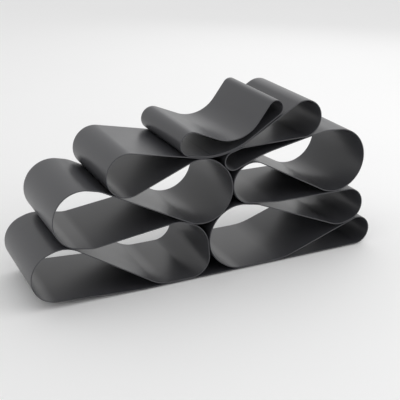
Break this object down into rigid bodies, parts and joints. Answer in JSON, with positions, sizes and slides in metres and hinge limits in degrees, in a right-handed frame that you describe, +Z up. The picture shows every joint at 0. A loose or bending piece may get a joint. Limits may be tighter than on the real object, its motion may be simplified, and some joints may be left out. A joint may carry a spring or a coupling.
{
  "type": "wine rack",
  "caption": "Free-standing wine rack of steel strip rolled into open stacked loops that hold bottles lying on their sides.",
  "frame": {"origin": "under the middle of the rack, on the surface that it stands on", "axes": "+X along the rack to its right end, +Y to the back, +Z up"},
  "size_m": [0.5956, 0.157, 0.2786],
  "materials": {
    "band_steel": "satin charcoal powder coat",
    "ground_weld": "weld ground flush and powder coated",
    "pad_rubber": "matte black"
  },
  "bodies": {
    "root": {"lower_left_loop": "band_steel", "lower_middle_loop": "band_steel", "left_bottle_loop": "band_steel", "centre_loop": "band_steel", "upper_left_loop": "band_steel", "upper_right_loop": "band_steel", "small_inner_loop": "band_steel", "right_bottle_loop": "band_steel", "middle_right_loop": "band_steel", "side_loop": "band_steel", "middle_bottle_loop": "band_steel", "lower_right_loop": "band_steel", "base_strip": "band_steel", "top_loop": "band_steel", "seam_weld_after_lower_left_loop": "ground_weld", "seam_weld_after_lower_middle_loop": "ground_weld", "seam_weld_after_left_bottle_loop": "ground_weld", "seam_weld_after_centre_loop": "ground_weld", "seam_weld_after_upper_left_loop": "ground_weld", "seam_weld_after_upper_right_loop": "ground_weld", "seam_weld_after_small_inner_loop": "ground_weld", "seam_weld_after_right_bottle_loop": "ground_weld", "seam_weld_after_middle_right_loop": "ground_weld", "seam_weld_after_side_loop": "ground_weld", "seam_weld_after_middle_bottle_loop": "ground_weld", "seam_weld_after_lower_right_loop": "ground_weld", "seam_weld_after_base_strip": "ground_weld", "seam_weld_of_top_loop": "ground_weld", "fillet_weld_lower_to_bottle_loop_above": "ground_weld", "fillet_weld_centre_to_bottle_loop_below": "ground_weld", "fillet_weld_centre_to_bottle_loop_above": "ground_weld", "fillet_weld_centre_to_right_loop_below": "ground_weld", "fillet_weld_centre_to_right_loop_above": "ground_weld", "fillet_weld_centre_to_small_loop_below": "ground_weld", "fillet_weld_centre_to_small_loop_above": "ground_weld", "foot_pad_front_left": "pad_rubber", "foot_pad_rear_left": "pad_rubber", "foot_pad_front_right": "pad_rubber", "foot_pad_rear_right": "pad_rubber"}
  },
  "joints": []
}
